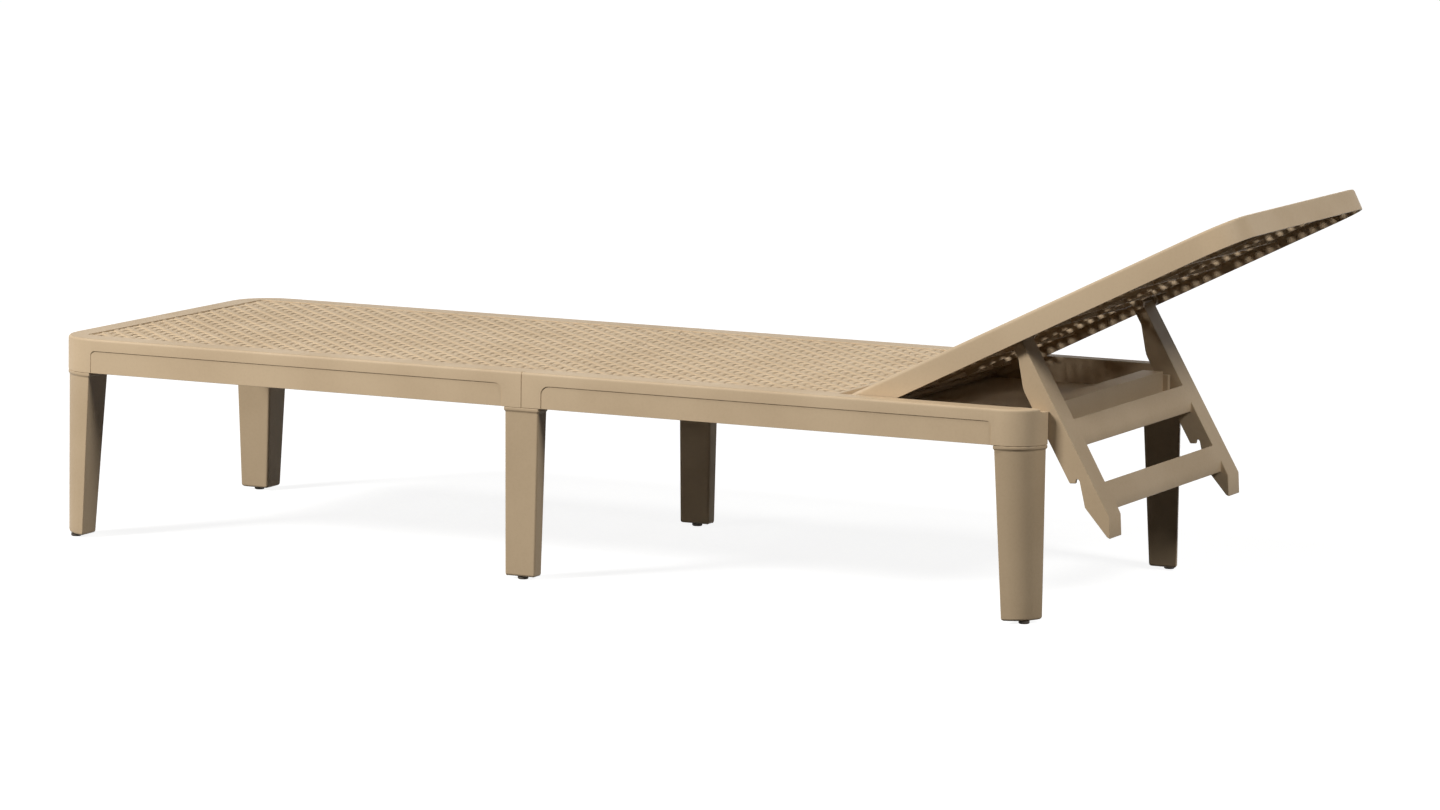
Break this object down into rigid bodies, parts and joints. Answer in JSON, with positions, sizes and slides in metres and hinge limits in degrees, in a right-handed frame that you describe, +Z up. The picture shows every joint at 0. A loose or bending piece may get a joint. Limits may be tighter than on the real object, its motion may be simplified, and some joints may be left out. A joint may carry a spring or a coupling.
{
  "type": "adjustable sun lounger",
  "caption": "Moulded resin sun lounger: flat woven-pattern deck in joined halves on plug-in legs, with a hinged backrest propped by a ladder that drops through slits in the rear beam",
  "frame": {"origin": "on the floor, below the centre of the lounger's length and width with the backrest at the pictured angle", "axes": "+X towards the head end, +Y to the side away from the picture's viewpoint, +Z up"},
  "size_m": [1.792, 0.585, 0.5588],
  "materials": {
    "deck_resin": "matt sand-coloured moulded resin with a woven texture inside a plain border",
    "back_resin": "matt sand-coloured moulded resin with a woven texture inside a plain border",
    "leg_resin": "matt sand-coloured moulded resin, smooth",
    "prop_resin": "matt sand-coloured moulded resin, smooth",
    "glide_rubber": "dark brown rubber",
    "pin_resin": "sand-coloured moulded resin pins",
    "plated_steel": "zinc-plated steel"
  },
  "bodies": {
    "frame": {"foot_frame": "deck_resin", "head_frame": "deck_resin", "leg_foot_near": "leg_resin", "leg_middle_near": "leg_resin", "leg_head_near": "leg_resin", "leg_foot_far": "leg_resin", "leg_middle_far": "leg_resin", "leg_head_far": "leg_resin", "glide_foot_near": "glide_rubber", "glide_middle_near": "glide_rubber", "glide_head_near": "glide_rubber", "glide_foot_far": "glide_rubber", "glide_middle_far": "glide_rubber", "glide_head_far": "glide_rubber", "joint_bolt_1": "plated_steel", "joint_nut_1": "plated_steel", "joint_bolt_2": "plated_steel", "joint_nut_2": "plated_steel", "joint_bolt_3": "plated_steel", "joint_nut_3": "plated_steel", "catch_bar_near": "plated_steel", "hinge_pin_near": "pin_resin", "catch_bar_far": "plated_steel", "hinge_pin_far": "pin_resin"},
    "backrest": {"backrest": "back_resin", "prop_pin_near": "pin_resin", "prop_pin_far": "pin_resin"},
    "prop": {"prop_ladder": "prop_resin"}
  },
  "joints": [
    {"name": "backrest_hinge", "type": "hinge", "parent": "frame", "child": "backrest", "pos_m": [0.34548, 0, 0.2764], "axis": [0, -1, 0], "range_deg": [-20, 16.5]},
    {"name": "prop_pivot", "type": "hinge", "parent": "backrest", "child": "prop", "pos_m": [0.57497, 0, 0.38249], "axis": [0, -1, 0], "range_deg": [-14.6, 17.7]}
  ],
  "couplings": [
    {"joint": "prop_pivot", "follows": "backrest_hinge", "ratio": -0.88}
  ]
}
